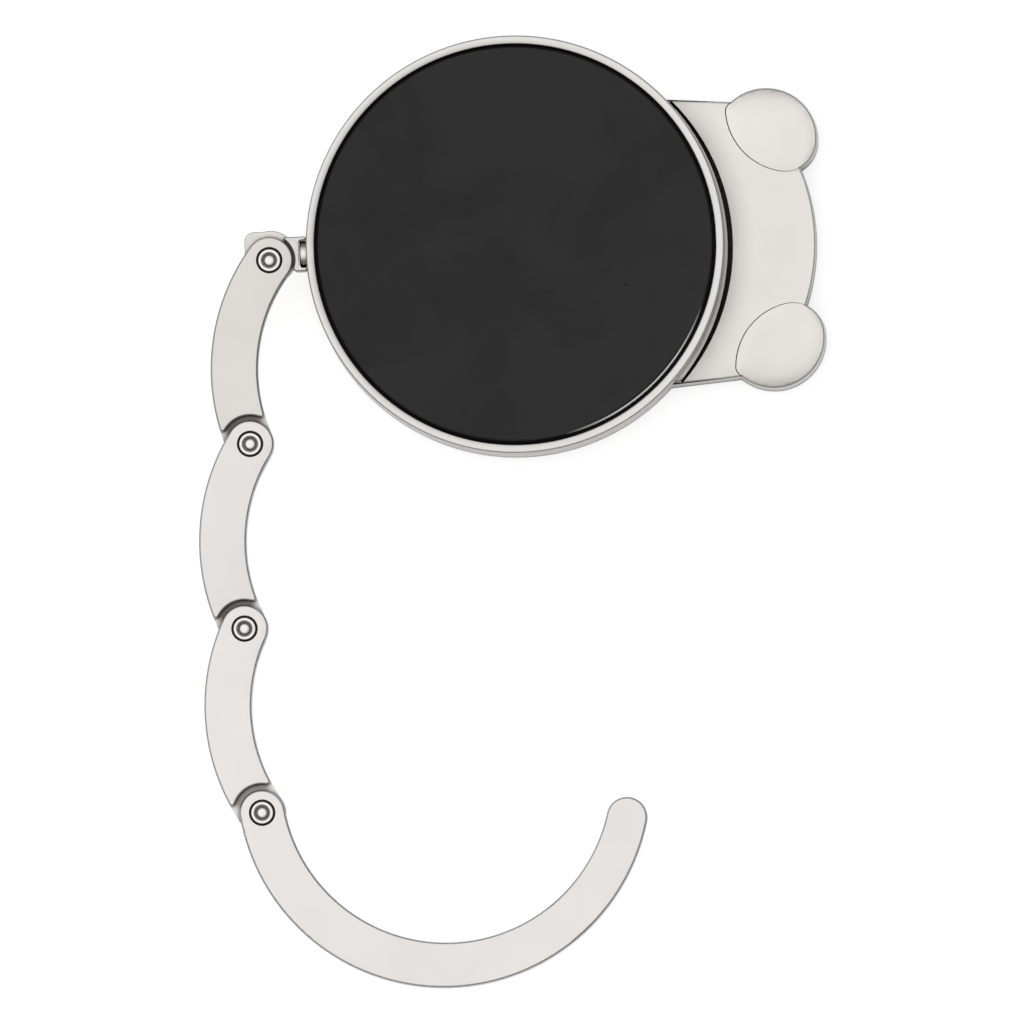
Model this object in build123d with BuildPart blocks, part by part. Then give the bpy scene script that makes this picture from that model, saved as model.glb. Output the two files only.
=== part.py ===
from build123d import *
import os
from math import asin, atan2, cos, degrees, radians, sin, sqrt

# A folding purse hook, open and lying with its rubber side up. All lengths are in millimetres.
# The origin is the middle of the round body on its flat front face. +Z points to the rubber side,
# the head-shaped plate is at +X, and the chain leaves the body at -X and hangs towards -Y.

# Round body: a cast front, a cup with a rim on its back, and a rubber pad in the cup
body_diameter = 45.0
casting_thickness = 4.7
casting_front_round = 0.6
casting_floor = 1.8
casting_wall = 2.9
cup_height = 3.8
cup_wall = 1.9
cup_web = 0.8
rim_width = 1.03
rim_round = 0.22
pad_recess_depth = 0.95
adhesive_thickness = 0.15
adhesive_side_gap = 0.05
pad_thickness = 1.0
pad_side_gap = 0.28
pad_edge_bevel = 0.15

# Rivets under the pad that hold the cup on the casting
body_rivet_count = 3
body_rivet_ring_radius = 12.0
body_rivet_shank_diameter = 1.5
body_rivet_head_diameter = 3.2
body_rivet_head_thickness = 0.4
body_rivet_length = 4.0
post_diameter = 4.2

# Head-shaped plate and its two ears, cast in one piece with the front
head_root_half_width = 15.5
head_root_inset = 1.5
head_front_half_width = 14.6
head_outer_reach = 32.24
head_outer_radius = 21.0
head_drop = 0.2
wall_draft_angle = 1.8
plate_edge_round = 0.2
ear_inset = 4.14
ear_offset = 11.8
ear_tail_reach = -4.0
ear_tail_offset = 2.0
ear_tail_radius = 0.99
ear_lobe_reach = 1.32
ear_lobe_offset = -1.38
ear_lobe_radius = 3.37
ear_outer_radius = 5.46
ear_inner_radius = 7.0
crease_width = 0.06
crease_shift = 0.05
crease_depth = 0.5

# Curved groove between the cup and the head-shaped plate
groove_inner_clearance = 0.28
groove_middle_width = 0.58
groove_end_width = 0.3
groove_depth = 2.7
groove_half_angle = 41.3

# Chain: forked links and the hook arm, one above the level of the casting
chain_clearance = 0.2
chain_thickness = 2.5
chain_edge_round = 0.28
pin_spacing = 19.88
link_bend_radius = 19.94
link_width = 5.1
fork_slot = 1.0
fork_slot_radius = 3.6
tongue_play = 0.07
shoulder_radius = 3.05
shoulder_corner_round = 0.35
link_bearings = [-98.2, -94.0, -86.8]

# Hook arm
hook_chord = 39.17
hook_bearing = -3.07
hook_head_radius = 2.45
hook_tip_radius = 2.2
hook_outer_depth = 18.56
hook_width = 4.87

# Semi-tubular rivets of the chain
rivet_shank_diameter = 1.8
rivet_running_clearance = 0.05
rivet_head_diameter = 2.9
rivet_head_play = 0.08
rivet_head_recess = 0.4
rivet_head_round = 0.1
ring_recess_diameter = 2.86
ring_recess_depth = 0.5
ring_diameter = 2.25
ring_below_surface = 0.06
ring_round = 0.14
ring_mouth_diameter = 1.5
rivet_bore_diameter = 1.24
rivet_bore_depth = 0.95
rivet_bore_dome = 0.2
ring_flare_depth = 0.3

# Swivel lug, its rivet and the washer inside the cup
lug_pin_reach = 3.98
lug_pin_drop = 0.55
lug_width = 3.72
lug_wall_clearance = 0.08
lug_shoulder_radius = 2.75
lug_edge_round = 0.15
lug_corner_ease = 0.35
lug_tip_ease = 0.12
lug_boss_radius = 2.83
lug_boss_shift = 0.13
lug_boss_rise = 0.38
lug_corner_reach = 2.62
lug_corner_rise = 3.14
lug_corner_round = 1.0
window_length = 0.86
window_width = 3.1
window_corner_round = 0.4
collar_radius = 1.85
collar_thickness = 0.85
collar_play = 0.07
notch_clearance = 0.08
notch_depth = 0.95
swivel_shank_diameter = 1.4
swivel_head_diameter = 2.9
swivel_head_thickness = 0.7
swivel_head_play = 0.05
swivel_head_round = 0.28
swivel_boss_length = 2.35
swivel_boss_width = 4.6
swivel_pocket_length = 1.9
swivel_pocket_width = 3.6
washer_diameter = 2.8
washer_thickness = 0.4
tail_diameter = 2.1
tail_thickness = 0.4
tail_round = 0.12

# One overrun serves every cut
overrun = 1.0

# Angles in degrees
downwards = -90
half_turn = 180
full_turn = 360

# Heights and places that follow from the sizes above
body_radius = body_diameter / 2
casting_top = casting_thickness
rim_top = casting_top + cup_height
recess_floor = rim_top - pad_recess_depth
web_bottom = recess_floor - cup_web
rim_inner_radius = body_radius - rim_width
chain_bottom = casting_top + chain_clearance
chain_top = chain_bottom + chain_thickness
chain_middle = chain_bottom + chain_thickness / 2
tongue_thickness = fork_slot - 2 * tongue_play
link_bow = degrees(asin(pin_spacing / 2 / link_bend_radius))
link_centre = Vector(pin_spacing / 2, sqrt(link_bend_radius**2 - (pin_spacing / 2) ** 2))


def bearing(start, end):
    """Angle of the direction from one point to another."""
    return degrees(atan2(end.Y - start.Y, end.X - start.X))


def arc_centre(start, end, to_start, to_end):
    """The point to the left of a line, at given distances from its two ends."""
    line = end - start
    along = (to_start**2 - to_end**2 + line.length**2) / (2 * line.length)
    across = sqrt(to_start**2 - along**2)
    return start + line.normalized() * along + Vector(-line.Y, line.X).normalized() * across


def turn(centre, radius, first, last):
    """An arc drawn counterclockwise from one angle to another."""
    return CenterArc(centre, radius, first, (last - first) % full_turn)


def step_along(start, angle, distance):
    """The point at a distance from another, in the direction of an angle."""
    return start + Vector(cos(radians(angle)), sin(radians(angle))) * distance


def place_at(pin, angle):
    """The plane of a chain piece: its origin on the pin at the chain's lower face, its X along the chord."""
    return Plane(
        origin=(pin.X, pin.Y, chain_bottom),
        x_dir=(cos(radians(angle)), sin(radians(angle)), 0),
        z_dir=(0, 0, 1),
    )


pins = [Vector(-body_radius - lug_pin_reach, -lug_pin_drop)]
for link_bearing in link_bearings:
    pins.append(step_along(pins[-1], link_bearing, pin_spacing))


def keep(piece, name):
    """Label a finished piece and write its file."""
    piece.label = name
    export_step(piece, "parts/" + name + ".step")


os.makedirs("parts", exist_ok=True)

# Outline of the head-shaped plate: two nearly straight sides that leave the round part, and a long
# arc across the end. The corners are under the ears.
head_root_reach = sqrt(body_radius**2 - head_root_half_width**2) - head_root_inset
head_arc_centre = head_outer_reach - head_outer_radius
head_front_reach = head_arc_centre + sqrt(head_outer_radius**2 - head_front_half_width**2)

with BuildSketch() as plate_outline:
    with BuildLine():
        Polyline(
            (head_front_reach, head_front_half_width),
            (head_root_reach, head_root_half_width),
            (head_root_reach, -head_root_half_width),
            (head_front_reach, -head_front_half_width),
        )
        ThreePointArc(
            (head_front_reach, -head_front_half_width),
            (head_outer_reach, 0),
            (head_front_reach, head_front_half_width),
        )
    make_face()

# Outline of an ear round its own middle: a small end circle at the tail, a large one at the lobe,
# and two longer arcs that run into both
ear_tail = Vector(ear_tail_reach, ear_tail_offset)
ear_lobe = Vector(ear_lobe_reach, ear_lobe_offset)
ear_outer_centre = arc_centre(
    ear_lobe, ear_tail, ear_outer_radius - ear_lobe_radius, ear_outer_radius - ear_tail_radius
)
ear_inner_centre = arc_centre(
    ear_tail, ear_lobe, ear_inner_radius - ear_tail_radius, ear_inner_radius - ear_lobe_radius
)
outer_to_tail = bearing(ear_outer_centre, ear_tail)
outer_to_lobe = bearing(ear_outer_centre, ear_lobe)
inner_to_tail = bearing(ear_inner_centre, ear_tail)
inner_to_lobe = bearing(ear_inner_centre, ear_lobe)

with BuildSketch() as ear_outline:
    with BuildLine():
        turn(ear_outer_centre, ear_outer_radius, outer_to_lobe, outer_to_tail)
        turn(ear_tail, ear_tail_radius, outer_to_tail, inner_to_tail)
        turn(ear_inner_centre, ear_inner_radius, inner_to_tail, inner_to_lobe)
        turn(ear_lobe, ear_lobe_radius, inner_to_lobe, outer_to_lobe)
    make_face()

with BuildSketch() as ears_outline:
    with Locations((head_outer_reach - ear_inset, ear_offset)):
        add(ear_outline.sketch)
    mirror(about=Plane.XZ)

with BuildSketch() as ears_inside:
    add(ears_outline.sketch)
    offset(amount=-crease_width)

with BuildSketch() as creases_outline:
    with Locations((-crease_shift, 0)):
        add(ears_outline.sketch)
    add(ears_inside.sketch, mode=Mode.SUBTRACT)
    add(plate_outline.sketch, mode=Mode.INTERSECT)

# Front casting: the round part, the head-shaped plate and the two ears, hollow behind the cup.
# The walls of the plate and the ears lean with the draft of the mould. A thin crease runs round
# each ear where it meets the plate.
swivel_plane = Plane(origin=(-body_radius, 0, chain_middle), x_dir=(0, 1, 0), z_dir=(1, 0, 0))
cavity_radius = body_radius - casting_wall
head_plane = Plane(origin=(0, -head_drop, casting_top))

with BuildPart() as front_casting:
    with BuildSketch(head_plane):
        add(plate_outline.sketch)
        add(ears_outline.sketch)
    extrude(amount=-casting_thickness, taper=-wall_draft_angle)
    with BuildSketch():
        Circle(body_radius)
    extrude(amount=casting_thickness)
    fillet(front_casting.edges().group_by(Axis.Z)[0], casting_front_round)
    fillet(front_casting.edges().group_by(Axis.Z)[-1], plate_edge_round)
    with BuildSketch(head_plane):
        add(creases_outline.sketch)
    extrude(amount=-crease_depth, mode=Mode.SUBTRACT)
    groove_inner_radius = body_radius + groove_inner_clearance
    groove_middle = groove_inner_radius + groove_middle_width
    groove_end = groove_inner_radius + groove_end_width
    groove_corner = Vector(cos(radians(groove_half_angle)), sin(radians(groove_half_angle)))
    with BuildSketch(head_plane.offset(-groove_depth)):
        with BuildLine():
            upper_in = groove_corner * groove_inner_radius
            upper_out = groove_corner * groove_end
            lower_in = Vector(upper_in.X, -upper_in.Y)
            lower_out = Vector(upper_out.X, -upper_out.Y)
            ThreePointArc(lower_in, (groove_inner_radius, 0), upper_in)
            Line(upper_in, upper_out)
            ThreePointArc(upper_out, (groove_middle, 0), lower_out)
            Line(lower_out, lower_in)
        make_face()
    extrude(amount=groove_depth + overrun, mode=Mode.SUBTRACT)
    with BuildSketch(Plane.XY.offset(casting_floor)):
        Circle(cavity_radius)
    extrude(amount=casting_thickness, mode=Mode.SUBTRACT)
    with BuildSketch(Plane.XY.offset(casting_floor)):
        with PolarLocations(body_rivet_ring_radius, body_rivet_count):
            Circle(post_diameter / 2)
            Circle(body_rivet_shank_diameter / 2, mode=Mode.SUBTRACT)
    extrude(amount=web_bottom - casting_floor)
    with BuildSketch(swivel_plane.offset(-overrun)):
        Circle(collar_radius + notch_clearance)
    extrude(amount=overrun + notch_depth, mode=Mode.SUBTRACT)
keep(front_casting.part, "front_casting")

# Cup: a turned shell with a thin rim, a notch for the lug's collar in its wall, and inside the wall
# a boss and a pocket for the tail of the swivel rivet.
boss_end = -body_radius + notch_depth + swivel_boss_length

with BuildPart() as case_body:
    with BuildSketch(Plane.XZ):
        with BuildLine():
            Polyline(
                (0, web_bottom),
                (body_radius - cup_wall, web_bottom),
                (body_radius - cup_wall, casting_top),
                (body_radius, casting_top),
                (body_radius, rim_top),
                (rim_inner_radius, rim_top),
                (rim_inner_radius, recess_floor),
                (0, recess_floor),
                close=True,
            )
        make_face()
    revolve(axis=Axis.Z)
    fillet(case_body.edges().group_by(Axis.Z)[-1], rim_round)
    with BuildSketch(Plane.XY.offset(casting_top)):
        with Locations((boss_end, 0)):
            Rectangle(
                swivel_boss_length + notch_depth / 2,
                swivel_boss_width,
                align=(Align.MAX, Align.CENTER),
            )
    extrude(amount=recess_floor - casting_top)
    with BuildSketch(Plane.XY.offset(casting_top)):
        with Locations((boss_end, 0)):
            Rectangle(swivel_pocket_length, swivel_pocket_width, align=(Align.MIN, Align.CENTER))
    extrude(amount=recess_floor - casting_top, mode=Mode.SUBTRACT)
    with BuildSketch(swivel_plane.offset(-overrun)):
        Circle(collar_radius + notch_clearance)
    extrude(amount=overrun + notch_depth, mode=Mode.SUBTRACT)
    with BuildSketch(swivel_plane.offset(notch_depth)):
        Circle(swivel_shank_diameter / 2)
    extrude(amount=swivel_boss_length, mode=Mode.SUBTRACT)
    with BuildSketch(Plane.XY.offset(recess_floor)):
        with PolarLocations(body_rivet_ring_radius, body_rivet_count):
            Circle(body_rivet_head_diameter / 2)
    extrude(amount=-body_rivet_head_thickness, mode=Mode.SUBTRACT)
    with BuildSketch(Plane.XY.offset(web_bottom)):
        with PolarLocations(body_rivet_ring_radius, body_rivet_count):
            Circle(body_rivet_shank_diameter / 2)
    extrude(amount=cup_web, mode=Mode.SUBTRACT)
keep(case_body.part, "case_body")

# Flat rivets through the cup's web into the posts of the casting
with BuildPart() as body_rivets:
    with BuildSketch(Plane.XY.offset(recess_floor)):
        with PolarLocations(body_rivet_ring_radius, body_rivet_count):
            Circle(body_rivet_head_diameter / 2)
    extrude(amount=-body_rivet_head_thickness)
    with BuildSketch(Plane.XY.offset(recess_floor - body_rivet_head_thickness)):
        with PolarLocations(body_rivet_ring_radius, body_rivet_count):
            Circle(body_rivet_shank_diameter / 2)
    extrude(amount=-body_rivet_length)
keep(body_rivets.part, "body_rivets")

# Adhesive disc and rubber pad in the rim
with BuildPart() as pad_adhesive:
    with BuildSketch(Plane.XY.offset(recess_floor)):
        Circle(rim_inner_radius - adhesive_side_gap)
    extrude(amount=adhesive_thickness)
keep(pad_adhesive.part, "pad_adhesive")

with BuildPart() as rubber_pad:
    with BuildSketch(Plane.XY.offset(recess_floor + adhesive_thickness)):
        Circle(rim_inner_radius - pad_side_gap)
    extrude(amount=pad_thickness)
    chamfer(rubber_pad.edges().group_by(Axis.Z)[-1], pad_edge_bevel)
keep(rubber_pad.part, "rubber_pad")

# Swivel rivet: its head is in the lug's window, its shank goes through the collar and the cup's wall,
# and its tail is spread over a washer inside. It is drawn along the swivel axis, from the tail outwards.
tail_start = notch_depth + swivel_boss_length + washer_thickness
head_start = notch_depth - collar_play - collar_thickness - swivel_head_play

with BuildPart() as swivel_rivet:
    with BuildSketch(swivel_plane.offset(head_start)):
        Circle(swivel_head_diameter / 2)
    extrude(amount=-swivel_head_thickness)
    fillet(swivel_rivet.edges().group_by(Axis.X)[0], swivel_head_round)
    with BuildSketch(swivel_plane.offset(head_start)):
        Circle(swivel_shank_diameter / 2)
    extrude(amount=tail_start - head_start)
    with BuildSketch(swivel_plane.offset(tail_start)):
        Circle(tail_diameter / 2)
    extrude(amount=tail_thickness)
    fillet(swivel_rivet.edges().group_by(Axis.X)[-1], tail_round)
keep(swivel_rivet.part, "swivel_rivet")

with BuildPart() as swivel_washer:
    with BuildSketch(swivel_plane.offset(notch_depth + swivel_boss_length)):
        Circle(washer_diameter / 2)
        Circle(swivel_shank_diameter / 2, mode=Mode.SUBTRACT)
    extrude(amount=washer_thickness)
keep(swivel_washer.part, "swivel_washer")

# Swivel lug: a round collar in the cup's notch, a window round the rivet head, and a flat tongue
# with a round boss and one squared corner that goes into the fork of the first link.
lug_end = -body_radius - lug_wall_clearance
window_end = -body_radius + notch_depth - collar_play - collar_thickness
tongue_bottom = chain_middle - tongue_thickness / 2
boss_centre = pins[0] + Vector(lug_boss_shift, lug_boss_rise)

with BuildPart() as swivel_lug:
    with BuildSketch(Plane.XY.offset(chain_bottom)) as lug_body:
        with BuildLine():
            Polyline(
                (lug_end, -lug_width / 2),
                (lug_end, lug_width / 2),
                (pins[0].X, lug_width / 2),
                (pins[0].X, -lug_width / 2),
                close=True,
            )
        make_face()
        with Locations(pins[0]):
            Circle(lug_shoulder_radius, mode=Mode.SUBTRACT)
        fillet(lug_body.vertices().sort_by(Axis.X)[0], lug_tip_ease)
        fillet(lug_body.vertices().group_by(Axis.Y)[0].sort_by(Axis.X)[0], lug_corner_ease)
    extrude(amount=chain_thickness)
    fillet(swivel_lug.edges().filter_by(Axis.X), lug_edge_round)
    with BuildSketch(swivel_plane.offset(-lug_wall_clearance)):
        Circle(collar_radius)
    extrude(amount=lug_wall_clearance + notch_depth - collar_play)
    with BuildSketch(Plane.XY.offset(tongue_bottom)):
        with Locations(boss_centre):
            Circle(lug_boss_radius)
        with BuildLine():
            corner = pins[0] + Vector(-lug_corner_reach, lug_corner_rise)
            FilletPolyline(
                (corner.X, pins[0].Y),
                (corner.X, corner.Y),
                (pins[0].X, corner.Y),
                radius=lug_corner_round,
            )
            Polyline((pins[0].X, corner.Y), (pins[0].X, pins[0].Y), (corner.X, pins[0].Y))
        make_face()
        with BuildLine():
            Polyline(
                (window_end - window_length, -lug_width / 2 + lug_edge_round),
                (window_end - window_length, lug_width / 2 - lug_edge_round),
                (pins[0].X, lug_width / 2 - lug_edge_round),
                (pins[0].X, -lug_width / 2 + lug_edge_round),
                close=True,
            )
        make_face()
    extrude(amount=tongue_thickness)
    with BuildSketch(Plane.XY.offset(chain_middle - collar_radius)) as window:
        with Locations((window_end, 0)):
            Rectangle(window_length, window_width, align=(Align.MAX, Align.CENTER))
        fillet(window.vertices().group_by(Axis.X)[0], window_corner_round)
    extrude(amount=2 * collar_radius, mode=Mode.SUBTRACT)
    with BuildSketch(swivel_plane):
        Circle(swivel_shank_diameter / 2 + rivet_running_clearance)
    extrude(amount=notch_depth, mode=Mode.SUBTRACT)
    with BuildSketch(Plane.XY.offset(chain_bottom)):
        with Locations(pins[0]):
            Circle(rivet_shank_diameter / 2 + rivet_running_clearance)
    extrude(amount=chain_thickness, mode=Mode.SUBTRACT)
keep(swivel_lug.part, "swivel_lug")

# Outline of a link: two concentric arcs joined by half circles round its two pins
link_start = Vector(0, 0)
link_end = Vector(pin_spacing, 0)
bow_start = downwards - link_bow
bow_end = downwards + link_bow

with BuildSketch() as link_outline:
    with BuildLine():
        turn(link_centre, link_bend_radius + link_width / 2, bow_start, bow_end)
        turn(link_end, link_width / 2, bow_end, bow_end + half_turn)
        turn(link_centre, link_bend_radius - link_width / 2, bow_start, bow_end)
        turn(link_start, link_width / 2, bow_start + half_turn, bow_start)
    make_face()

# Outline of the hook arm: four arcs that run into each other, so that the arm is widest at its
# lowest point. The two long arcs touch the end circles, one from outside and one from inside.
hook_start = Vector(0, 0)
hook_end = Vector(hook_chord, 0)


def hanging_radius(depth, past_start, past_end):
    """Radius of an arc that hangs a depth below the chord and passes its ends at given distances."""
    middle = (hook_chord**2 + past_start**2 - past_end**2) / (2 * hook_chord)
    lean = (past_start - past_end) / hook_chord
    linear = 2 * depth + 2 * past_start - 2 * middle * lean
    constant = middle**2 + depth**2 - past_start**2
    return 2 * constant / (linear + sqrt(linear**2 - 4 * lean**2 * constant))


hook_outer_radius = hanging_radius(hook_outer_depth, -hook_head_radius, -hook_tip_radius)
hook_inner_radius = hanging_radius(hook_outer_depth - hook_width, hook_head_radius, hook_tip_radius)
outer_centre = arc_centre(
    hook_start, hook_end, hook_outer_radius - hook_head_radius, hook_outer_radius - hook_tip_radius
)
inner_centre = arc_centre(
    hook_start, hook_end, hook_inner_radius + hook_head_radius, hook_inner_radius + hook_tip_radius
)
outer_from = bearing(outer_centre, hook_start)
outer_to = bearing(outer_centre, hook_end)
inner_from = bearing(inner_centre, hook_start)
inner_to = bearing(inner_centre, hook_end)

with BuildSketch() as hook_outline:
    with BuildLine():
        turn(outer_centre, hook_outer_radius, outer_from, outer_to)
        turn(hook_end, hook_tip_radius, outer_to, inner_to + half_turn)
        turn(inner_centre, hook_inner_radius, inner_from, inner_to)
        turn(hook_start, hook_head_radius, inner_from + half_turn, outer_from)
    make_face()


def make_chain_piece(outline, plane, has_tail):
    """A link or the hook arm: a flat bar forked at its first pin, and on a link a tongue at its end."""
    slot_bottom = (chain_thickness - fork_slot) / 2
    with BuildPart() as piece:
        with BuildSketch(plane) as bar:
            add(outline)
            if has_tail:
                with Locations(link_end):
                    Circle(shoulder_radius, mode=Mode.SUBTRACT)
                corners = bar.vertices().sort_by_distance((pin_spacing, 0, 0))[0:2]
                fillet(corners, shoulder_corner_round)
        extrude(amount=chain_thickness)
        rims = piece.edges().filter_by(Plane.XY)
        fillet(rims, chain_edge_round)
        with BuildSketch(plane.offset(slot_bottom)):
            with Locations(link_start):
                Circle(fork_slot_radius)
        extrude(amount=fork_slot, mode=Mode.SUBTRACT)
        if has_tail:
            with BuildSketch(plane.offset(slot_bottom + tongue_play)):
                with Locations(link_end):
                    Circle(shoulder_radius + link_width / 2)
                add(outline, mode=Mode.INTERSECT)
            extrude(amount=tongue_thickness)
            with BuildSketch(plane):
                with Locations(link_end):
                    Circle(rivet_shank_diameter / 2 + rivet_running_clearance)
            extrude(amount=chain_thickness, mode=Mode.SUBTRACT)
        with BuildSketch(plane):
            Circle(rivet_shank_diameter / 2)
        extrude(amount=chain_thickness, mode=Mode.SUBTRACT)
        with BuildSketch(plane):
            Circle(rivet_head_diameter / 2 + rivet_head_play)
        extrude(amount=rivet_head_recess, mode=Mode.SUBTRACT)
        with BuildSketch(plane.offset(chain_thickness)):
            Circle(ring_recess_diameter / 2)
        extrude(amount=-ring_recess_depth, mode=Mode.SUBTRACT)
    return piece.part


# Three links from the same mould, and the hook arm
for number, link_bearing in enumerate(link_bearings, start=1):
    link_plane = place_at(pins[number - 1], link_bearing)
    keep(make_chain_piece(link_outline.sketch, link_plane, has_tail=True), "link_" + str(number))
keep(make_chain_piece(hook_outline.sketch, place_at(pins[-1], hook_bearing), has_tail=False), "hook_arm")

# Semi-tubular rivets: a flat head on the front side, and on the rubber side a hollow end that is
# rolled out into a ring in its recess
for number, pin in enumerate(pins, start=1):
    head_bottom = chain_bottom + rivet_head_play
    head_top = chain_bottom + rivet_head_recess
    ring_bottom = chain_top - ring_recess_depth
    ring_top = chain_top - ring_below_surface
    with BuildPart() as rivet:
        with BuildSketch(Plane(origin=(pin.X, pin.Y, 0), x_dir=(1, 0, 0), z_dir=(0, -1, 0))):
            with BuildLine():
                Polyline(
                    (0, head_bottom),
                    (rivet_head_diameter / 2 - rivet_head_round, head_bottom),
                    (rivet_head_diameter / 2, head_bottom + rivet_head_round),
                    (rivet_head_diameter / 2, head_top),
                    (rivet_shank_diameter / 2, head_top),
                    (rivet_shank_diameter / 2, ring_bottom),
                    (ring_diameter / 2, ring_bottom),
                    (ring_diameter / 2, ring_top - ring_round),
                    (ring_diameter / 2 - ring_round, ring_top),
                    (ring_mouth_diameter / 2, ring_top),
                    (rivet_bore_diameter / 2, ring_top - ring_flare_depth),
                    (rivet_bore_diameter / 2, ring_top - rivet_bore_depth),
                    (0, ring_top - rivet_bore_depth + rivet_bore_dome),
                    close=True,
                )
            make_face()
        revolve(axis=Axis((pin.X, pin.Y, 0), (0, 0, 1)))
    keep(rivet.part, "rivet_" + str(number))
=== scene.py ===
from math import cos, radians, sin

import bmesh
import bpy
from mathutils import Matrix, Vector


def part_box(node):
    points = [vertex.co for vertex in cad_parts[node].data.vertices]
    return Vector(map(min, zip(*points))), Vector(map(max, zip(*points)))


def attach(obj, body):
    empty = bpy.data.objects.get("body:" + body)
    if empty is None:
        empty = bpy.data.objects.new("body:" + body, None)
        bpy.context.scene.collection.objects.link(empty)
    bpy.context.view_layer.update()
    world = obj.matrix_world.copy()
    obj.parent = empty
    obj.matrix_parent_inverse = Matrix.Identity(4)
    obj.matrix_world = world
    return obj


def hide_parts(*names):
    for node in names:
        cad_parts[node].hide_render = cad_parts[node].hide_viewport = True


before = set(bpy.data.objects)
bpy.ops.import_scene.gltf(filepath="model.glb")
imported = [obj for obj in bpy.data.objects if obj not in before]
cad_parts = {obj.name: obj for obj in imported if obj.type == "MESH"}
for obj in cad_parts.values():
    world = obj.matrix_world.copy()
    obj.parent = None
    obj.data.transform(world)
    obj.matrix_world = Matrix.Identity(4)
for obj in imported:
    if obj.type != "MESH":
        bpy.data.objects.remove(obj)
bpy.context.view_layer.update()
MM = 0.001


# Front casting: the flat round front with the head-shaped plate and its two ears, die cast in zinc
# alloy, tumbled smooth and plated with satin nickel. The surface is pale and silky with a fine
# grain, with painted shade darkening its crevices, its edges and the foot of its wall.
def shaded(material, colour, shade):
    """Multiply a colour by a shade, both outputs of the material's nodes."""
    product = material.node_tree.nodes.new("ShaderNodeMix")
    product.data_type = "RGBA"
    product.blend_type = "MULTIPLY"
    product.inputs["Factor"].default_value = 1.0
    material.node_tree.links.new(colour, product.inputs["A"])
    material.node_tree.links.new(shade, product.inputs["B"])
    return product


def nickel(
    name, colour, roughness=0.38, grain_size=0.16 * MM, cloud_size=9 * MM, clouding=0.02,
    crevice_reach=0.7 * MM, dark_until=0.4, unshaded_from=0.8, open_shade=0.86, edge_tone=0.66,
):
    """Satin nickel: a fine grain, a faint clouding of its sheen, painted shade in crevices and on
    edges.
    """
    material = bpy.data.materials.new(name)
    material.use_nodes = True
    nodes = material.node_tree.nodes
    links = material.node_tree.links
    shader = nodes["Principled BSDF"]
    shader.inputs["Metallic"].default_value = 1.0

    place = nodes.new("ShaderNodeTexCoord")
    clouds = nodes.new("ShaderNodeTexNoise")
    clouds.inputs["Scale"].default_value = 1 / cloud_size
    clouds.inputs["Detail"].default_value = 5.0
    clouds.inputs["Roughness"].default_value = 0.6
    links.new(place.outputs["Object"], clouds.inputs["Vector"])
    tone = nodes.new("ShaderNodeMix")
    tone.data_type = "RGBA"
    tone.inputs["A"].default_value = (*[c * (1 - clouding) for c in colour], 1)
    tone.inputs["B"].default_value = (*[min(1, c * (1 + clouding)) for c in colour], 1)
    links.new(clouds.outputs["Fac"], tone.inputs["Factor"])

    # Painted shade: the colour darkens where ambient occlusion finds the surface hemmed in, in
    # crevices, between parts and near the floor
    openness = nodes.new("ShaderNodeAmbientOcclusion")
    openness.samples = 12
    openness.inputs["Distance"].default_value = crevice_reach
    painted_crevice_shade = nodes.new("ShaderNodeValToRGB")
    painted_crevice_shade.color_ramp.elements[0].position = dark_until
    painted_crevice_shade.color_ramp.elements[0].color = (0.03, 0.027, 0.025, 1)
    painted_crevice_shade.color_ramp.elements[1].position = 1.0
    painted_crevice_shade.color_ramp.elements[1].color = (1, 1, 1, 1)
    less_shaded_stop = painted_crevice_shade.color_ramp.elements.new(unshaded_from)
    less_shaded_stop.color = (open_shade, open_shade, open_shade * 0.99, 1)
    links.new(openness.outputs["AO"], painted_crevice_shade.inputs["Fac"])
    crevice_shaded = shaded(material, tone.outputs["Result"], painted_crevice_shade.outputs["Color"])

    # Painted shade: grey where the surface turns over an edge, from the upright walls (0) to the flat
    # faces (1)
    facing = nodes.new("ShaderNodeSeparateXYZ")
    links.new(place.outputs["Normal"], facing.inputs["Vector"])
    level = nodes.new("ShaderNodeMath")
    level.operation = "ABSOLUTE"
    links.new(facing.outputs["Z"], level.inputs[0])
    painted_edge_shade = nodes.new("ShaderNodeValToRGB")
    stops = painted_edge_shade.color_ramp.elements
    stops[0].position = 0.12
    stops[0].color = (1, 1, 1, 1)
    stops[1].position = 0.985
    stops[1].color = (1, 1, 1, 1)
    for position in (0.32, 0.90):
        stop = stops.new(position)
        stop.color = (edge_tone, edge_tone, edge_tone * 0.98, 1)
    links.new(level.outputs[0], painted_edge_shade.inputs["Fac"])
    edged = shaded(material, crevice_shaded.outputs["Result"], painted_edge_shade.outputs["Color"])
    edged.name = "edged"
    links.new(edged.outputs["Result"], shader.inputs["Base Color"])

    sheen = nodes.new("ShaderNodeMapRange")
    sheen.inputs["From Min"].default_value = 0.3
    sheen.inputs["From Max"].default_value = 0.7
    sheen.inputs["To Min"].default_value = roughness - 0.04
    sheen.inputs["To Max"].default_value = roughness + 0.04
    links.new(clouds.outputs["Fac"], sheen.inputs["Value"])
    links.new(sheen.outputs["Result"], shader.inputs["Roughness"])

    grain = nodes.new("ShaderNodeTexNoise")
    grain.inputs["Scale"].default_value = 1 / grain_size
    grain.inputs["Detail"].default_value = 3.0
    grain_bump = nodes.new("ShaderNodeBump")
    grain_bump.name = "grain"
    grain_bump.inputs["Strength"].default_value = 0.35
    grain_bump.inputs["Distance"].default_value = 0.004 * MM
    links.new(place.outputs["Object"], grain.inputs["Vector"])
    links.new(grain.outputs["Fac"], grain_bump.inputs["Height"])
    links.new(grain_bump.outputs["Normal"], shader.inputs["Normal"])
    return material


merge_distance = 0.0001 * MM


def merged_skin(node):
    """The mesh of a cast solid, with its doubles merged."""
    skin_bm = bmesh.new()
    skin_bm.from_mesh(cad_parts[node].data)
    bmesh.ops.remove_doubles(skin_bm, verts=skin_bm.verts, dist=merge_distance)
    return skin_bm


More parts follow.
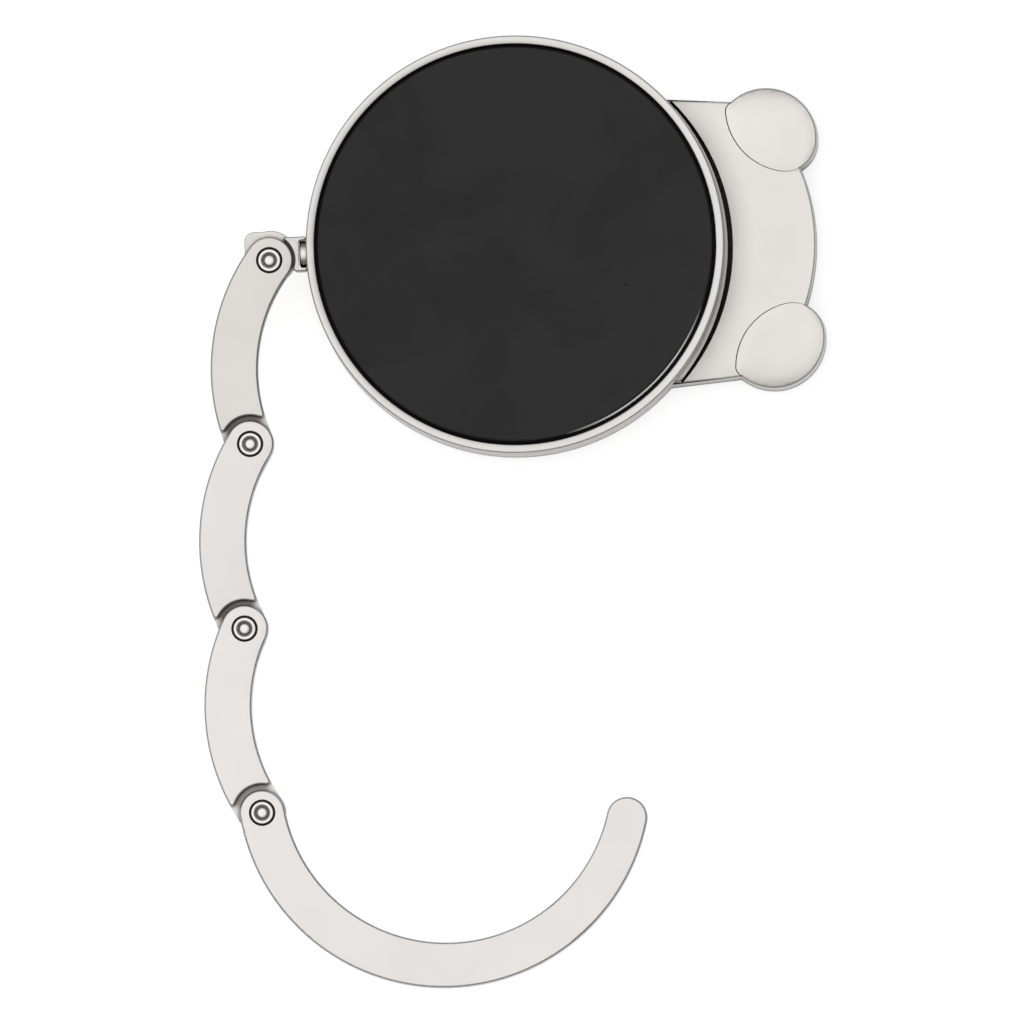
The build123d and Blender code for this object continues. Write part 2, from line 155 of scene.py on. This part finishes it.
def finish_skin(node, body, material, skin_bm, sharp_from=radians(24)):
    """Make a piece of a mesh, shaded by its broad faces, that takes the place of a node."""
    mesh = bpy.data.meshes.new(node + "_skin")
    bmesh.ops.recalc_face_normals(skin_bm, faces=skin_bm.faces)
    for face in skin_bm.faces:
        face.smooth = True
        face.material_index = 0
    for edge in skin_bm.edges:
        edge.smooth = edge.calc_face_angle(0) < sharp_from
    skin_bm.to_mesh(mesh)
    skin_bm.free()
    if "custom_normal" in mesh.attributes:
        mesh.attributes.remove(mesh.attributes["custom_normal"])
    mesh.materials.append(material)
    skin = bpy.data.objects.new(node + "_skin", mesh)
    bpy.context.scene.collection.objects.link(skin)
    flats = skin.modifiers.new("flats", "WEIGHTED_NORMAL")
    flats.keep_sharp = True
    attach(skin, body)
    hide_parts(node)


# Its painted shade reaches 3.5 mm, so it darkens the casting near the cup's wall and near the floor.
cast_nickel = nickel(
    "cast_nickel", (0.82, 0.79, 0.758), roughness=0.44,
    crevice_reach=3.5 * MM, dark_until=0.22, unshaded_from=0.5, open_shade=0.74,
)

# The head's top face leans away towards its two long sides: it is cut across in strips, and each
# strip sinks by its distance from the head's middle line, which lies a little below the body's.
middle_line = -0.2 * MM
lean_from = 12.4 * MM
lean_to = 16.6 * MM
lean_depth = 0.65 * MM
lean_strips = 12
head_starts = 22.6 * MM
head_wall_top = 3.6 * MM
upward_from = 0.1


def on_head(vert):
    """Whether a point lies outside the round body, at the head's top."""
    return vert.co.x > 0 and vert.co.xy.length > head_starts and vert.co.z > head_wall_top


def head_top(casting_bm):
    """The faces on top of the head, with their edges and points."""
    faces = [
        face for face in casting_bm.faces
        if face.normal.z > upward_from
        and face.calc_center_median().x > 0
        and max(vert.co.xy.length for vert in face.verts) > head_starts
        and min(vert.co.z for vert in face.verts) > head_wall_top
    ]
    edges = dict.fromkeys(edge for face in faces for edge in face.edges)
    verts = dict.fromkeys(vert for face in faces for vert in face.verts)
    return [*faces, *edges, *verts]


casting_bm = merged_skin("front_casting")
for side in (1, -1):
    for strip in range(lean_strips):
        off_middle = lean_from + (lean_to - lean_from) * strip / lean_strips
        bmesh.ops.bisect_plane(
            casting_bm, geom=head_top(casting_bm), dist=merge_distance,
            plane_co=(0, middle_line + side * off_middle, 0), plane_no=(0, 1, 0),
        )
for vert in casting_bm.verts:
    off_middle = abs(vert.co.y - middle_line)
    if on_head(vert) and off_middle > lean_from:
        vert.co.z -= lean_depth * ((off_middle - lean_from) / (lean_to - lean_from)) ** 2
finish_skin("front_casting", "case", cast_nickel, casting_bm)

# The ears are a little domed: inside the two arcs of each ear's outline, the face rises towards
# its middle. The arcs are those of the upper ear, and the lower one mirrors it.
ear_arcs = (
    ((27.354 * MM, 10.735 * MM, 0), 5.46 * MM),
    ((30.107 * MM, 13.984 * MM, 0), 7.0 * MM),
)
dome_width = 1.3 * MM
dome_height_mm = 0.09
nodes = cast_nickel.node_tree.nodes
links = cast_nickel.node_tree.links
place = nodes.new("ShaderNodeTexCoord")
parts = nodes.new("ShaderNodeSeparateXYZ")
links.new(place.outputs["Object"], parts.inputs["Vector"])
from_middle_line = nodes.new("ShaderNodeMath")
from_middle_line.operation = "SUBTRACT"
from_middle_line.inputs[1].default_value = middle_line
links.new(parts.outputs["Y"], from_middle_line.inputs[0])
either_side = nodes.new("ShaderNodeMath")
either_side.operation = "ABSOLUTE"
links.new(from_middle_line.outputs[0], either_side.inputs[0])
folded = nodes.new("ShaderNodeCombineXYZ")
links.new(parts.outputs["X"], folded.inputs["X"])
links.new(either_side.outputs[0], folded.inputs["Y"])
inside = nodes.new("ShaderNodeMath")
inside.operation = "MINIMUM"
for arc, (arc_centre, arc_radius) in enumerate(ear_arcs):
    from_centre = nodes.new("ShaderNodeVectorMath")
    from_centre.operation = "DISTANCE"
    from_centre.inputs[1].default_value = arc_centre
    links.new(folded.outputs["Vector"], from_centre.inputs[0])
    depth = nodes.new("ShaderNodeMath")
    depth.operation = "SUBTRACT"
    depth.inputs[0].default_value = arc_radius
    links.new(from_centre.outputs["Value"], depth.inputs[1])
    links.new(depth.outputs[0], inside.inputs[arc])
still_to_rise = nodes.new("ShaderNodeMapRange")
still_to_rise.inputs["From Max"].default_value = dome_width
still_to_rise.inputs["To Min"].default_value = 1.0
still_to_rise.inputs["To Max"].default_value = 0.0
links.new(inside.outputs[0], still_to_rise.inputs["Value"])
rounding = nodes.new("ShaderNodeMath")
rounding.operation = "POWER"
rounding.inputs[1].default_value = 2.0
links.new(still_to_rise.outputs["Result"], rounding.inputs[0])
fall = nodes.new("ShaderNodeMath")
fall.operation = "MULTIPLY"
fall.inputs[1].default_value = dome_height_mm
links.new(rounding.outputs[0], fall.inputs[0])
dome = nodes.new("ShaderNodeBump")
dome.invert = True
dome.inputs["Strength"].default_value = 1.0
dome.inputs["Distance"].default_value = MM
links.new(fall.outputs[0], dome.inputs["Height"])
links.new(dome.outputs["Normal"], nodes["grain"].inputs["Normal"])

# Painted shade: the foot of the casting's wall is darker than the rest of it, where it meets the floor.
foot_bottom = 0.7 * MM
foot_top = 2.4 * MM
foot = nodes.new("ShaderNodeMapRange")
foot.inputs["From Min"].default_value = foot_bottom
foot.inputs["From Max"].default_value = foot_top
foot.inputs["To Min"].default_value = 0.5
foot.inputs["To Max"].default_value = 1.0
links.new(parts.outputs["Z"], foot.inputs["Value"])
foot_shade = nodes.new("ShaderNodeVectorMath")
foot_shade.operation = "SCALE"
links.new(nodes["edged"].outputs["Result"], foot_shade.inputs[0])
links.new(foot.outputs["Result"], foot_shade.inputs["Scale"])
links.new(foot_shade.outputs["Vector"], nodes["Principled BSDF"].inputs["Base Color"])

# Cup: a shallow round case with a thin rim, cast and plated like the front and fixed on its back.
# The rim's inner edge is turned to an even round all the way, so its ragged facets are cut out and
# bridged anew.
# Its painted shade reaches 3 mm, darkening the cup where other parts or the floor come near.
rim_nickel = nickel(
    "rim_nickel", (0.695, 0.68, 0.66), roughness=0.33, grain_size=0.14 * MM,
    crevice_reach=3 * MM, dark_until=0.45, unshaded_from=0.8, edge_tone=0.75,
)
rim_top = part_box("case_body")[1].z
rim_inner_radius = 21.47 * MM
rim_round = 0.22 * MM
tolerance = 0.01 * MM
round_reach = rim_inner_radius + rim_round + tolerance
round_bottom = rim_top - rim_round - tolerance
rim_bm = merged_skin("case_body")
ragged = [
    face for face in rim_bm.faces
    if max(vert.co.xy.length for vert in face.verts) < round_reach
    and min(vert.co.z for vert in face.verts) > round_bottom
]
bmesh.ops.delete(rim_bm, geom=ragged, context="FACES")
bmesh.ops.bridge_loops(rim_bm, edges=[edge for edge in rim_bm.edges if edge.is_boundary])
finish_skin("case_body", "case", rim_nickel, rim_bm, sharp_from=radians(50))


# Rubber pad: a die-cut disc of black anti-slip rubber, stuck in the rim with an adhesive film. It is
# matt, faintly blotchy where hands have touched it, and holds a few tiny pits. Its cut edge carries a
# painted glint along one side.
def finish_node(node, material):
    """Give a CAD node its finish."""
    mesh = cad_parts[node].data
    mesh.materials.clear()
    mesh.materials.append(material)


rubber = bpy.data.materials.new("black_rubber")
rubber.use_nodes = True
nodes = rubber.node_tree.nodes
links = rubber.node_tree.links
shader = nodes["Principled BSDF"]
shader.inputs["Specular IOR Level"].default_value = 0.2
place = nodes.new("ShaderNodeTexCoord")
blotches = nodes.new("ShaderNodeTexNoise")
blotches.inputs["Scale"].default_value = 75.0
blotches.inputs["Detail"].default_value = 7.0
blotches.inputs["Roughness"].default_value = 0.62
blotches.inputs["Distortion"].default_value = 0.4
links.new(place.outputs["Object"], blotches.inputs["Vector"])
spread = nodes.new("ShaderNodeMapRange")
spread.inputs["From Min"].default_value = 0.36
spread.inputs["From Max"].default_value = 0.60
links.new(blotches.outputs["Fac"], spread.inputs["Value"])
black = nodes.new("ShaderNodeMix")
black.data_type = "RGBA"
black.inputs["A"].default_value = (0.0225, 0.0225, 0.0225, 1)
black.inputs["B"].default_value = (0.034, 0.034, 0.034, 1)
links.new(spread.outputs["Result"], black.inputs["Factor"])

# The pits are painted darker than the rubber, as painted shade inside them.
pits = nodes.new("ShaderNodeTexVoronoi")
pits.inputs["Scale"].default_value = 420.0
links.new(place.outputs["Object"], pits.inputs["Vector"])
pit_size = nodes.new("ShaderNodeMapRange")
pit_size.inputs["From Min"].default_value = 0.04
pit_size.inputs["From Max"].default_value = 0.08
pit_size.inputs["To Min"].default_value = 1.0
pit_size.inputs["To Max"].default_value = 0.0
links.new(pits.outputs["Distance"], pit_size.inputs["Value"])
pit_choice = nodes.new("ShaderNodeSeparateColor")
links.new(pits.outputs["Color"], pit_choice.inputs["Color"])
few = nodes.new("ShaderNodeMath")
few.operation = "GREATER_THAN"
few.inputs[1].default_value = 0.82
links.new(pit_choice.outputs["Red"], few.inputs[0])
pitted = nodes.new("ShaderNodeMath")
pitted.operation = "MULTIPLY"
links.new(pit_size.outputs["Result"], pitted.inputs[0])
links.new(few.outputs[0], pitted.inputs[1])
pit_shade = nodes.new("ShaderNodeMix")
pit_shade.data_type = "RGBA"
pit_shade.inputs["B"].default_value = (0.009, 0.009, 0.009, 1)
links.new(pitted.outputs[0], pit_shade.inputs["Factor"])
links.new(black.outputs["Result"], pit_shade.inputs["A"])

# The cut edge's painted glint: a black line of painted shade where the top face ends, and outside it
# a painted highlight on the bevel, both fading out to either side of the direction that they face.
cut_radius = 20.84 * MM
bevel_radius = 21.03 * MM
ring_softness = 0.02 * MM
glint_direction = radians(-49)
glint_half_angle = radians(28)
full_half_angle = radians(10)
level = nodes.new("ShaderNodeVectorMath")
level.operation = "MULTIPLY"
level.inputs[1].default_value = (1, 1, 0)
links.new(place.outputs["Object"], level.inputs[0])
radius = nodes.new("ShaderNodeVectorMath")
radius.operation = "LENGTH"
links.new(level.outputs["Vector"], radius.inputs[0])
towards = nodes.new("ShaderNodeVectorMath")
towards.operation = "DOT_PRODUCT"
towards.inputs[1].default_value = (cos(glint_direction), sin(glint_direction), 0)
links.new(level.outputs["Vector"], towards.inputs[0])
along_side = nodes.new("ShaderNodeMapRange")
along_side.inputs["From Min"].default_value = bevel_radius * cos(glint_half_angle)
along_side.inputs["From Max"].default_value = bevel_radius * cos(full_half_angle)
links.new(towards.outputs["Value"], along_side.inputs["Value"])
surface = pit_shade
for ring_start, ring_colour in ((cut_radius, (0.006, 0.006, 0.006, 1)), (bevel_radius, (1, 1, 1, 1))):
    outside = nodes.new("ShaderNodeMapRange")
    outside.inputs["From Min"].default_value = ring_start - ring_softness
    outside.inputs["From Max"].default_value = ring_start + ring_softness
    links.new(radius.outputs["Value"], outside.inputs["Value"])
    share = nodes.new("ShaderNodeMath")
    share.operation = "MULTIPLY"
    links.new(outside.outputs["Result"], share.inputs[0])
    links.new(along_side.outputs["Result"], share.inputs[1])
    ringed = nodes.new("ShaderNodeMix")
    ringed.data_type = "RGBA"
    ringed.inputs["B"].default_value = ring_colour
    links.new(share.outputs[0], ringed.inputs["Factor"])
    links.new(surface.outputs["Result"], ringed.inputs["A"])
    surface = ringed
links.new(surface.outputs["Result"], shader.inputs["Base Color"])

dulling = nodes.new("ShaderNodeMapRange")
dulling.inputs["To Min"].default_value = 0.55
dulling.inputs["To Max"].default_value = 0.75
links.new(blotches.outputs["Fac"], dulling.inputs["Value"])
links.new(dulling.outputs["Result"], shader.inputs["Roughness"])
rubber_grain_size = 0.25 * MM
grain = nodes.new("ShaderNodeTexNoise")
grain.inputs["Scale"].default_value = 1 / rubber_grain_size
grain.inputs["Detail"].default_value = 2.0
grain_bump = nodes.new("ShaderNodeBump")
grain_bump.inputs["Strength"].default_value = 0.3
grain_bump.inputs["Distance"].default_value = 0.01 * MM
links.new(place.outputs["Object"], grain.inputs["Vector"])
links.new(grain.outputs["Fac"], grain_bump.inputs["Height"])
links.new(grain_bump.outputs["Normal"], shader.inputs["Normal"])
finish_node("rubber_pad", rubber)

# Adhesive film: an acrylic disc a little wider than the pad, which holds the pad in the cup. It is
# coloured near-black as painted shade, so that the gap round the pad shows as a black line.
film = bpy.data.materials.new("adhesive_shade_black")
film.use_nodes = True
nodes = film.node_tree.nodes
links = film.node_tree.links
shader = nodes["Principled BSDF"]
shader.inputs["Specular IOR Level"].default_value = 0.12
place = nodes.new("ShaderNodeTexCoord")
smears = nodes.new("ShaderNodeTexNoise")
smears.inputs["Scale"].default_value = 300.0
smears.inputs["Detail"].default_value = 3.0
links.new(place.outputs["Object"], smears.inputs["Vector"])
film_shade_black = nodes.new("ShaderNodeMix")
film_shade_black.data_type = "RGBA"
film_shade_black.inputs["A"].default_value = (0.004, 0.004, 0.004, 1)
film_shade_black.inputs["B"].default_value = (0.010, 0.009, 0.008, 1)
links.new(smears.outputs["Fac"], film_shade_black.inputs["Factor"])
links.new(film_shade_black.outputs["Result"], shader.inputs["Base Color"])
film_sheen = nodes.new("ShaderNodeMapRange")
film_sheen.inputs["To Min"].default_value = 0.4
film_sheen.inputs["To Max"].default_value = 0.6
links.new(smears.outputs["Fac"], film_sheen.inputs["Value"])
links.new(film_sheen.outputs["Result"], shader.inputs["Roughness"])
finish_node("pad_adhesive", film)

# Links and hook arm: three short forked links and the long curved arm, cast and plated like the
# body. Their nickel is painted a little darker towards the body, as painted shade.
first_link_shaded_nickel = nickel("first_link_shaded_nickel", (0.69, 0.66, 0.635))
second_link_shaded_nickel = nickel("second_link_shaded_nickel", (0.745, 0.715, 0.695))
chain_nickel = nickel("chain_nickel", (0.775, 0.745, 0.725))
for node, body, material in (
    ("link_1", "first_link", first_link_shaded_nickel),
    ("link_2", "second_link", second_link_shaded_nickel),
    ("link_3", "third_link", chain_nickel),
    ("hook_arm", "hook", chain_nickel),
):
    finish_skin(node, body, material, merged_skin(node), sharp_from=radians(70))

# Swivel lug: the short casting between the cup's wall and the first link. Its nickel is mottled and
# a little darker than the rest, with strong painted shade on its edges, and the corners all round
# its flat tab are worn.
lug_nickel = nickel(
    "lug_nickel", (0.70, 0.675, 0.65), roughness=0.40, grain_size=0.3 * MM, cloud_size=1.1 * MM,
    clouding=0.3, crevice_reach=0.4 * MM, dark_until=0.3, unshaded_from=0.7, edge_tone=0.5,
)
tab_half_thickness = 0.43 * MM
tab_end = -24.6 * MM
tab_wear = 0.14 * MM
flat_within = radians(3)
corner_from = radians(40)
lug_low, lug_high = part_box("swivel_lug")
tab_middle = (lug_low.z + lug_high.z) / 2
lug_bm = merged_skin("swivel_lug")
bmesh.ops.dissolve_limit(lug_bm, angle_limit=flat_within, verts=lug_bm.verts, edges=lug_bm.edges)
bmesh.ops.recalc_face_normals(lug_bm, faces=lug_bm.faces)
worn_corners = [
    edge for edge in lug_bm.edges
    if edge.calc_face_angle_signed(0) > corner_from
    and max(vert.co.x for vert in edge.verts) < tab_end
    and all(abs(abs(vert.co.z - tab_middle) - tab_half_thickness) < tolerance for vert in edge.verts)
]
bmesh.ops.bevel(
    lug_bm, geom=worn_corners, offset=tab_wear, segments=3, profile=0.5, affect="EDGES", material=-1,
)
finish_skin("swivel_lug", "lug", lug_nickel, lug_bm)

# Rivets: steel, nickel plated. A chain rivet has a flat head on the front side, and on the rubber
# side its hollow end is rolled out into a ring round a domed middle. The profiles are radius and
# height in millimetres, from the middle of the head up.
rivet_nickel = nickel(
    "rivet_nickel", (0.80, 0.775, 0.75), roughness=0.28, grain_size=0.1 * MM, clouding=0.03,
    crevice_reach=0.5 * MM, dark_until=0.2, unshaded_from=0.5, edge_tone=0.85,
)
rivet_head = ((0, 0), (1.35, 0), (1.45, 0.10), (1.45, 0.32))
rivet_shank = ((0.90, 0.32), (0.90, 1.94))
rolled_ring = (
    (1.16, 1.94), (1.22, 2.00), (1.22, 2.26), (1.19, 2.33), (1.12, 2.36),
    (0.94, 2.36), (0.85, 2.33), (0.79, 2.26), (0.76, 2.12),
)
hollow = ((0.75, 1.62), (0.59, 1.62))
domed_middle = ((0.58, 2.02), (0.55, 2.10), (0.48, 2.15), (0.28, 2.18), (0, 2.19))
rivet_profile = rivet_head + rivet_shank + rolled_ring + hollow + domed_middle
rivet_steps = 48
for number, body in enumerate(("first_link", "second_link", "third_link", "hook"), start=1):
    node = "rivet_" + str(number)
    low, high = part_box(node)
    head_middle = (low + high) / 2
    head_middle.z = low.z
    rivet_bm = bmesh.new()
    points = [rivet_bm.verts.new(head_middle + Vector((r * MM, 0, h * MM))) for r, h in rivet_profile]
    lines = [rivet_bm.edges.new(pair) for pair in zip(points, points[1:])]
    bmesh.ops.spin(
        rivet_bm, geom=points + lines, cent=head_middle, axis=(0, 0, 1),
        angle=radians(360), steps=rivet_steps, use_merge=True,
    )
    bmesh.ops.remove_doubles(rivet_bm, verts=rivet_bm.verts, dist=merge_distance)
    finish_skin(node, body, rivet_nickel, rivet_bm, sharp_from=radians(50))
for node in ("body_rivets", "swivel_rivet", "swivel_washer"):
    finish_node(node, rivet_nickel)

# Camera: almost straight above the rubber pad with a long lens, tipped a few degrees towards the
# open side of the hook.
camera_azimuth = radians(-69.3)
camera_elevation = radians(86.42)
image_roll = radians(2.3)
pixel = 0.1074 * MM
image_half = 512
disc_centre_pixel = (514.9, 244.1)
camera_distance = 3.0
sensor_width = 36.0
disc_centre = Vector((0, 0, rim_top))

towards_camera = Vector((
    cos(camera_elevation) * cos(camera_azimuth),
    cos(camera_elevation) * sin(camera_azimuth),
    sin(camera_elevation),
))
image_up = Vector((sin(image_roll), cos(image_roll), 0))
camera_right = image_up.cross(towards_camera).normalized()
camera_up = towards_camera.cross(camera_right).normalized()
aim = (
    disc_centre
    + camera_right * (image_half - disc_centre_pixel[0]) * pixel
    - camera_up * (image_half - disc_centre_pixel[1]) * pixel
)
camera_data = bpy.data.cameras.new("camera")
camera_data.sensor_width = sensor_width
camera_data.lens = sensor_width * camera_distance / (2 * image_half * pixel)
camera_data.clip_end = 20.0
camera = bpy.data.objects.new("camera", camera_data)
turn = Matrix((camera_right, camera_up, towards_camera)).transposed().to_4x4()
camera.matrix_world = Matrix.Translation(aim + towards_camera * camera_distance) @ turn
bpy.context.scene.collection.objects.link(camera)
bpy.context.scene.camera = camera

# Floor: a wide sheet of white card, a hair below the body. It glows a little, so that it comes out
# white, and what it shows to the metal fades close to the body, where the card is in shade.
floor_size = 6.0
floor_drop = 0.02 * MM
floor_mesh = bpy.data.meshes.new("floor")
floor_bm = bmesh.new()
bmesh.ops.create_grid(
    floor_bm, x_segments=8, y_segments=8, size=floor_size / 2,
    matrix=Matrix.Translation((0, 0, -floor_drop)),
)
floor_bm.to_mesh(floor_mesh)
floor_bm.free()
floor = bpy.data.objects.new("floor", floor_mesh)
bpy.context.scene.collection.objects.link(floor)

card = bpy.data.materials.new("white_floor")
card.use_nodes = True
nodes = card.node_tree.nodes
links = card.node_tree.links
shader = nodes["Principled BSDF"]
shader.inputs["Base Color"].default_value = (0.60, 0.60, 0.60, 1)
shader.inputs["Roughness"].default_value = 0.9
shader.inputs["Specular IOR Level"].default_value = 0.1
shader.inputs["Emission Color"].default_value = (1, 1, 1, 1)
ray = nodes.new("ShaderNodeLightPath")
open_floor = nodes.new("ShaderNodeAmbientOcclusion")
open_floor.samples = 8
open_floor.inputs["Distance"].default_value = 7 * MM
shown_to_metal = nodes.new("ShaderNodeMapRange")
shown_to_metal.inputs["From Min"].default_value = 0.25
shown_to_metal.inputs["From Max"].default_value = 0.9
shown_to_metal.inputs["To Max"].default_value = 0.5
links.new(open_floor.outputs["AO"], shown_to_metal.inputs["Value"])
to_metal = nodes.new("ShaderNodeMath")
to_metal.operation = "MULTIPLY"
links.new(ray.outputs["Is Glossy Ray"], to_metal.inputs[0])
links.new(shown_to_metal.outputs["Result"], to_metal.inputs[1])
glow = nodes.new("ShaderNodeMath")
glow.operation = "MULTIPLY_ADD"
glow.inputs[1].default_value = 0.72
links.new(ray.outputs["Is Camera Ray"], glow.inputs[0])
links.new(to_metal.outputs[0], glow.inputs[2])
links.new(glow.outputs[0], shader.inputs["Emission Strength"])
floor_mesh.materials.append(card)

# Light: a tent of white cloth, bright overhead and greyer towards the horizon, with its brightest
# part tipped a little to one side, and one large soft lamp inside it.
tent_brightest = (-0.25, 0.12, 1)
tent = bpy.data.worlds.new("tent")
bpy.context.scene.world = tent
tent.use_nodes = True
nodes = tent.node_tree.nodes
links = tent.node_tree.links
place = nodes.new("ShaderNodeTexCoord")
height = nodes.new("ShaderNodeVectorMath")
height.operation = "DOT_PRODUCT"
height.inputs[1].default_value = tent_brightest
links.new(place.outputs["Generated"], height.inputs[0])
cloth = nodes.new("ShaderNodeValToRGB")
cloth.color_ramp.elements[0].position = 0.45
cloth.color_ramp.elements[0].color = (0.18, 0.18, 0.18, 1)
cloth.color_ramp.elements[1].position = 0.88
cloth.color_ramp.elements[1].color = (1, 1, 1, 1)
links.new(height.outputs["Value"], cloth.inputs["Fac"])
ray = nodes.new("ShaderNodeLightPath")
sky = nodes.new("ShaderNodeMix")
sky.data_type = "RGBA"
sky.inputs["B"].default_value = (1, 1, 1, 1)
links.new(ray.outputs["Is Camera Ray"], sky.inputs["Factor"])
links.new(cloth.outputs["Color"], sky.inputs["A"])
links.new(sky.outputs["Result"], nodes["Background"].inputs["Color"])

lamp_aim = Vector((0, -0.04, 0))
lamp_data = bpy.data.lights.new("softbox", "AREA")
lamp_data.shape = "RECTANGLE"
lamp_data.size = 0.5
lamp_data.size_y = 0.4
lamp_data.energy = 0.12
lamp = bpy.data.objects.new("softbox", lamp_data)
lamp.location = (-0.12, 0.04, 0.5)
lamp.rotation_euler = (lamp_aim - lamp.location).to_track_quat("-Z", "Y").to_euler()
bpy.context.scene.collection.objects.link(lamp)

bpy.context.scene.view_settings.view_transform = "Standard"
